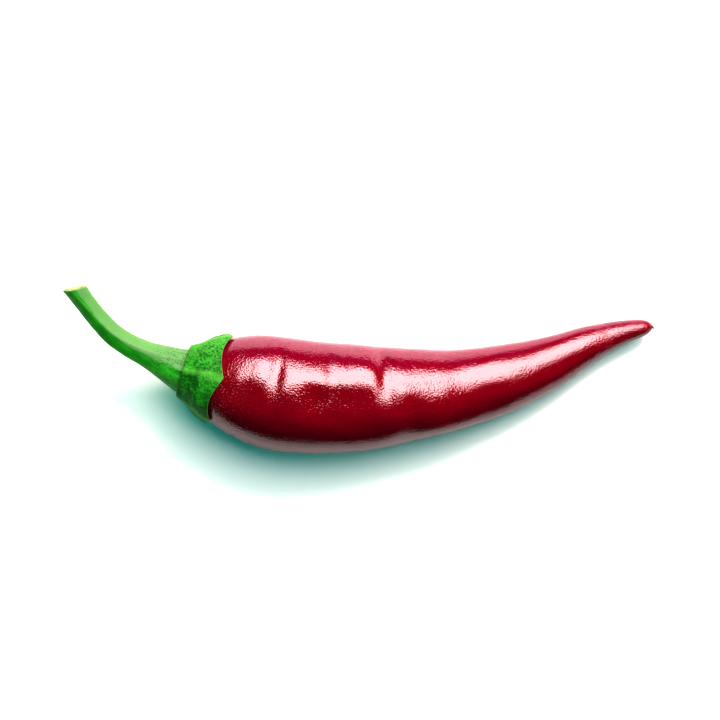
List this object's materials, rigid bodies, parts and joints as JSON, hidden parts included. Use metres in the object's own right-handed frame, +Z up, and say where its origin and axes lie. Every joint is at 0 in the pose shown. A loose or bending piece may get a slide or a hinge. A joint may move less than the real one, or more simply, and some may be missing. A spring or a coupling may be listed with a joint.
{
  "type": "chilli pepper",
  "caption": "Fresh red chilli pepper as picked, lying on its side: a glossy tapering pod, a ribbed green cap with pointed teeth, and a bent green stem cut off aslant.",
  "frame": {"origin": "under the middle of the whole chilli's box, on the surface that it lies on", "axes": "+X along the pod towards its tip, +Y to the side that the stem bends to, +Z up"},
  "size_m": [0.1176, 0.0337, 0.0191],
  "materials": {
    "pod_skin": "glossy waxy crimson skin, finely wrinkled, with a few shallow dents",
    "calyx_skin": "leathery mid green, bumpy, with a thin pale edge along its rim",
    "stem_skin": "satin light green with long rounded edges, paler on its cut"
  },
  "bodies": {
    "root": {"pod": "pod_skin", "calyx": "calyx_skin", "stem": "stem_skin"}
  },
  "joints": []
}
